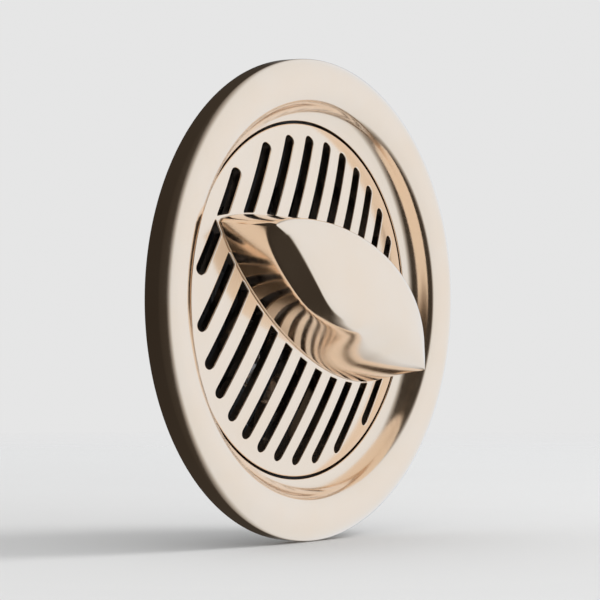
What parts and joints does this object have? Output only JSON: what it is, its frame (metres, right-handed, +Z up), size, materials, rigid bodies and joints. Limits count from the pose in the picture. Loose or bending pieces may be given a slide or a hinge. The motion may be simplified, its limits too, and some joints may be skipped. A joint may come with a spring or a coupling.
{
  "type": "helmet side vent",
  "caption": "Round side vent and visor pivot cover: push-on polished bezel, slotted dome, quarter-turn thumb grip and rotary shutter in a screwed-on housing.",
  "frame": {"origin": "on the vent's axis, in the plane where the gasket meets the helmet's shell", "axes": "-Y is the way the front faces, away from the shell; +Y along the spigot into the shell; +Z up on the helmet; +X to the right seen from the front"},
  "size_m": [0.05, 0.0205, 0.05],
  "materials": {
    "rose_gold": "polished rose-gold plating",
    "black_nylon": "fine spark-eroded grain, glass-filled",
    "grey_acetal": "smooth moulded",
    "white_acetal": "smooth moulded",
    "foam_rubber": "closed-cell foam",
    "zinc_steel": "zinc plated",
    "spring_steel": "bright drawn",
    "black_oxide_steel": "turned, black oxide",
    "brass": "turned"
  },
  "bodies": {
    "housing": {"housing": "black_nylon", "shell_gasket": "foam_rubber", "mounting_screws": "zinc_steel", "shutter_seal": "foam_rubber", "pawl_spring": "spring_steel"},
    "pawl": {"visor_pawl": "grey_acetal"},
    "shutter": {"shutter": "grey_acetal", "shutter_clip": "spring_steel"},
    "cap": {"bezel_ring": "rose_gold", "slip_ring": "white_acetal", "carrier": "black_nylon", "spindle_bush": "brass", "snap_ring": "spring_steel", "click_spring": "spring_steel", "click_spring_screw": "zinc_steel"},
    "knob": {"grille": "rose_gold", "thumb_grip": "rose_gold", "grip_screws": "zinc_steel", "spindle": "black_oxide_steel", "spindle_clip": "spring_steel", "disc_spring": "spring_steel"}
  },
  "joints": [
    {"name": "cap_lift", "type": "slide", "parent": "housing", "child": "cap", "axis": [0, -1, 0], "range_m": [0, 0.015], "deforming": ["snap_ring"]},
    {"name": "knob_turn", "type": "hinge", "parent": "cap", "child": "knob", "pos_m": [0, 0, 0], "axis": [0, 1, 0], "range_deg": [0, 90], "deforming": ["click_spring"]},
    {"name": "shutter_turn", "type": "hinge", "parent": "housing", "child": "shutter", "pos_m": [0, 0, 0], "axis": [0, 1, 0], "range_deg": [0, 90]},
    {"name": "pawl_slide", "type": "slide", "parent": "housing", "child": "pawl", "axis": [1, 0, 0], "range_m": [0, 0.0008], "stiffness_N_per_m": 300, "deforming": ["pawl_spring"]}
  ],
  "couplings": [
    {"joint": "shutter_turn", "follows": "knob_turn", "ratio": 1}
  ]
}
